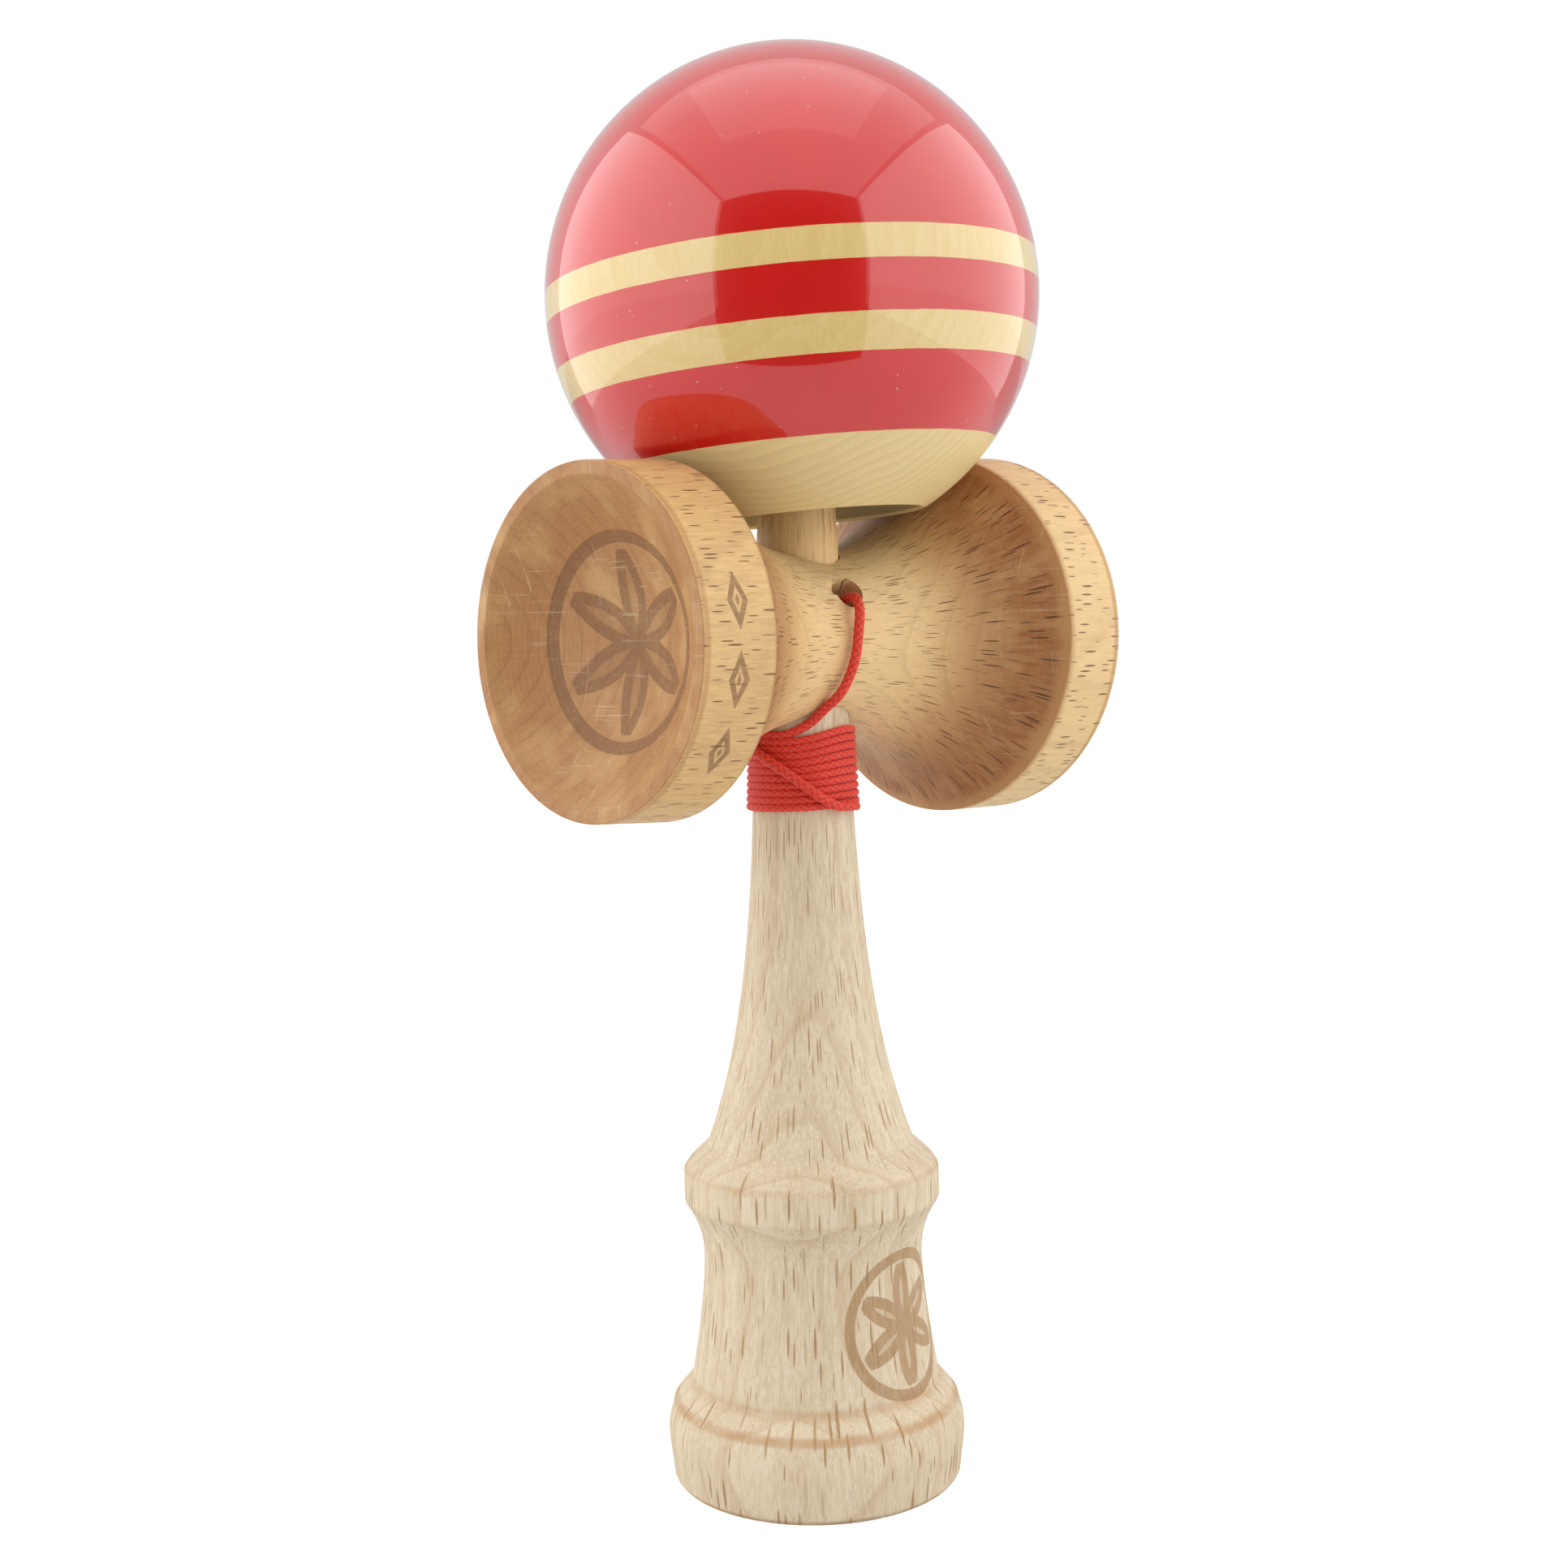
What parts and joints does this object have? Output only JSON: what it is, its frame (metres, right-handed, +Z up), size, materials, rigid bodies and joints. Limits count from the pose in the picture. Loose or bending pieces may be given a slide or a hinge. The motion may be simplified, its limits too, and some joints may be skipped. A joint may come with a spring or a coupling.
{
  "type": "kendama",
  "caption": "Turned wooden cup-and-ball toy with a cup at each end of its cross-piece, a cup in the base, a spike and a tethered ball parked on it.",
  "frame": {"origin": "centre of the base rim, on the surface that the toy stands on, on the handle's axis", "axes": "+Z up along the handle to the spike, +X along the cross-piece towards the big cup"},
  "size_m": [0.0676, 0.0618, 0.1776],
  "materials": {
    "pale_beech": "bare sanded beech, pale, with short dark flecks",
    "warm_beech": "bare sanded beech, warmer, darker on the end grain inside the cups",
    "ball_lacquer": "gloss red lacquer with two natural wood stripes and a natural wood underside",
    "bead_wood": "plain turned wood",
    "string": "tight round braid"
  },
  "bodies": {
    "handle": {"ken": "pale_beech", "sarado": "warm_beech", "anchor_knot": "string", "string_lead": "string", "string_winding": "string", "string_riser": "string"},
    "string_end": {"bead": "bead_wood", "stopper_knot": "string", "string_over": "string"},
    "ball": {"tama": "ball_lacquer"}
  },
  "joints": [
    {"name": "ball_lift", "type": "slide", "parent": "handle", "child": "string_end", "axis": [0, 0, 1], "range_m": [0, 0.045]},
    {"name": "ball_spin", "type": "hinge", "parent": "string_end", "child": "ball", "pos_m": [0, 0, 0.14625], "axis": [-0.0389, 0.0545, 0.9978], "continuous": true}
  ]
}
